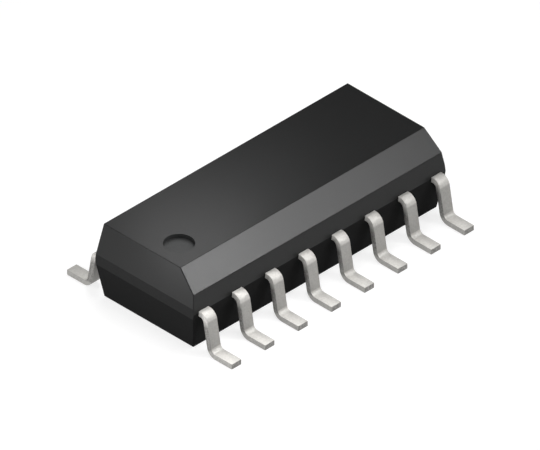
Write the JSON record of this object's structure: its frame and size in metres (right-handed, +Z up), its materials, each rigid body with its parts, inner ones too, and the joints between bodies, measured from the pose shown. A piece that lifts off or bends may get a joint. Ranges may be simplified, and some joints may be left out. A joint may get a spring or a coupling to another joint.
{
  "type": "logic chip",
  "caption": "Black small-outline logic chip with a bevelled, drafted body, a round pin-one recess and gull-wing pins along both long sides.",
  "frame": {"origin": "middle of the seating plane under the feet, straight below the middle of the moulding", "axes": "+X along the package from the pin 1 end, +Y across it away from the row of pins 1 to 8, +Z up through the marked top"},
  "size_m": [0.0096, 0.0064, 0.0024],
  "materials": {
    "moulding_compound": "fine satin, moulded",
    "tinned_lead": "matte tin over copper alloy",
    "paddle_metal": "rolled copper alloy with a silver spot",
    "adhesive": "silver-filled epoxy",
    "silicon": "polished, with a patterned top",
    "gold_wire": "drawn gold"
  },
  "bodies": {
    "root": {"mould_body": "moulding_compound", "lead_01": "tinned_lead", "lead_02": "tinned_lead", "lead_03": "tinned_lead", "lead_04": "tinned_lead", "lead_05": "tinned_lead", "lead_06": "tinned_lead", "lead_07": "tinned_lead", "lead_08": "tinned_lead", "lead_09": "tinned_lead", "lead_10": "tinned_lead", "lead_11": "tinned_lead", "lead_12": "tinned_lead", "lead_13": "tinned_lead", "lead_14": "tinned_lead", "lead_15": "tinned_lead", "lead_16": "tinned_lead", "die_paddle": "paddle_metal", "die_adhesive": "adhesive", "silicon_die": "silicon", "bond_wire_01": "gold_wire", "bond_wire_02": "gold_wire", "bond_wire_03": "gold_wire", "bond_wire_04": "gold_wire", "bond_wire_05": "gold_wire", "bond_wire_06": "gold_wire", "bond_wire_07": "gold_wire", "bond_wire_08": "gold_wire", "bond_wire_09": "gold_wire", "bond_wire_10": "gold_wire", "bond_wire_11": "gold_wire", "bond_wire_12": "gold_wire", "bond_wire_13": "gold_wire", "bond_wire_14": "gold_wire", "bond_wire_15": "gold_wire", "bond_wire_16": "gold_wire"}
  },
  "joints": []
}
